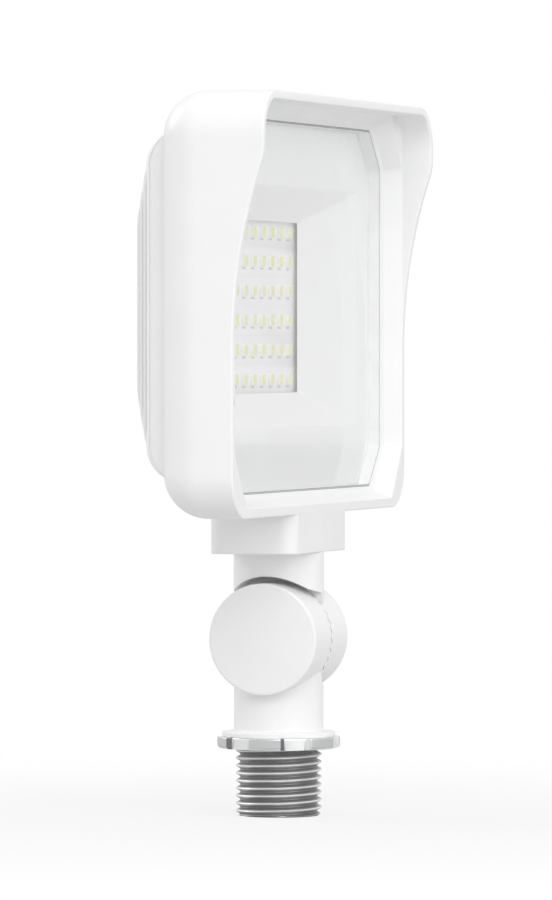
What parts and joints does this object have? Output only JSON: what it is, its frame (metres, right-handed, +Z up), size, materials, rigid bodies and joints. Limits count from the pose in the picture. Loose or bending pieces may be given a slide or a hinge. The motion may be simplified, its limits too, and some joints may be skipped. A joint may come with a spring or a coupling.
{
  "type": "flood light",
  "caption": "Outdoor flood light: finned cast housing with a swept visor over the glass, on a toothed tilting knuckle with a threaded stem and lock nut.",
  "frame": {"origin": "centre of the lower end of the stem's thread", "axes": "+Z up along the stem, -Y the way the beam leaves, +X the knuckle's axis, to the right as seen from in front"},
  "size_m": [0.146, 0.0428, 0.1723],
  "materials": {
    "white_paint": "satin powder coat on die-cast aluminium",
    "lens_glass": "clear tempered glass",
    "grey_rubber": "grey silicone rubber",
    "reflector_white": "matt white reflector",
    "board_white": "white solder mask",
    "chip_yellow": "pale yellow phosphor in a white case",
    "pad_grey": "soft grey heat pad",
    "screw_steel": "stainless steel",
    "board_green": "green solder mask",
    "sheet_amber": "amber insulating film",
    "capacitor_black": "black sleeve",
    "disc_blue": "dipped blue resin",
    "case_black": "moulded black resin",
    "terminal_cream": "moulded cream nylon",
    "lead_red": "red wire insulation",
    "ground_green": "green passivated steel",
    "black_rubber": "black rubber",
    "thread_zinc": "dull grey zinc, bare cut thread",
    "nut_steel": "bright zinc-plated steel"
  },
  "bodies": {
    "lower_arm": {"lower_arm": "white_paint", "threaded_nipple": "thread_zinc", "knuckle_seal": "black_rubber"},
    "head": {"housing": "white_paint", "cooling_fins": "white_paint", "glass_lens": "lens_glass", "lens_gasket": "grey_rubber", "reflector": "reflector_white", "light_board": "board_white", "light_chips": "chip_yellow", "heat_pad": "pad_grey", "board_screws": "screw_steel", "driver_board": "board_green", "insulating_sheet": "sheet_amber", "capacitors": "capacitor_black", "surge_disc": "disc_blue", "rectifier": "case_black", "driver_chips": "case_black", "wire_terminal": "terminal_cream", "driver_screws": "screw_steel", "board_leads": "lead_red", "ground_screw": "ground_green", "wire_grommet": "black_rubber", "upper_arm": "white_paint", "neck_seal": "black_rubber", "arm_screws": "screw_steel", "clamp_washer": "screw_steel"},
    "clamp_screw": {"clamp_screw": "screw_steel"},
    "lock_nut": {"lock_nut": "nut_steel"}
  },
  "joints": [
    {"name": "head_tilt", "type": "hinge", "parent": "lower_arm", "child": "head", "pos_m": [0, 0, 0.04285], "axis": [1, 0, 0], "range_deg": [-90, 90]},
    {"name": "clamp_turn", "type": "hinge", "parent": "lower_arm", "child": "clamp_screw", "pos_m": [0, 0, 0.04285], "axis": [1, 0, 0], "range_deg": [0, 360]},
    {"name": "nut_travel", "type": "slide", "parent": "lower_arm", "child": "lock_nut", "axis": [0, 0, -1], "range_m": [0, 0.012]}
  ]
}
